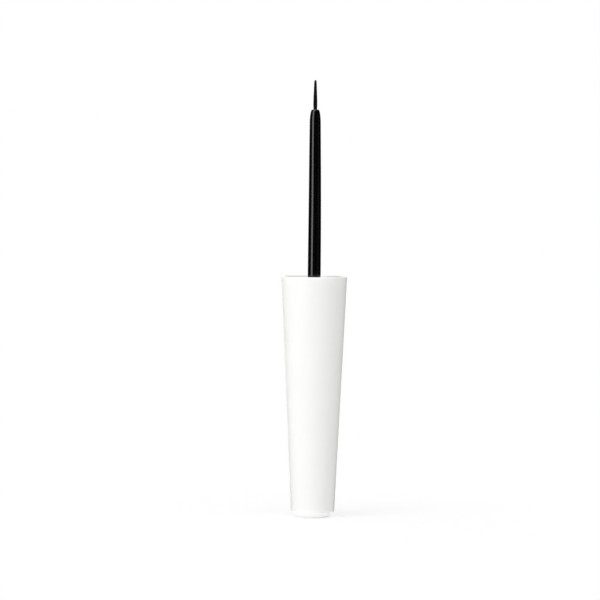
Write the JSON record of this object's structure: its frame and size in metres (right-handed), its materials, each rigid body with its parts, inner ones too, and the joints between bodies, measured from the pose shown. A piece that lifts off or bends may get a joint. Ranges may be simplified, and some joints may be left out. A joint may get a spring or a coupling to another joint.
{
  "type": "eyeliner brush applicator",
  "caption": "White tapered screw cap with a slim black stem that ends in a fine pointed liquid-liner brush, standing on its closed end.",
  "frame": {"origin": "centre of the cap's closed end face, which the applicator stands on", "axes": "+Z along the stem towards the brush tip; the part is turned about Z, so X and Y are free"},
  "size_m": [0.016, 0.016, 0.1048],
  "materials": {
    "cap_white": "glossy moulded white",
    "insert_natural": "natural moulded, satin",
    "washer_foam": "closed-cell foam",
    "stem_black": "glossy moulded black",
    "ferrule_metal": "drawn tube",
    "bristle_black": "fine tapered filaments"
  },
  "bodies": {
    "root": {"outer_cap": "cap_white", "inner_cap": "insert_natural", "seal_washer": "washer_foam", "stem": "stem_black", "tuft_ferrule": "ferrule_metal", "brush_tuft": "bristle_black"}
  },
  "joints": []
}
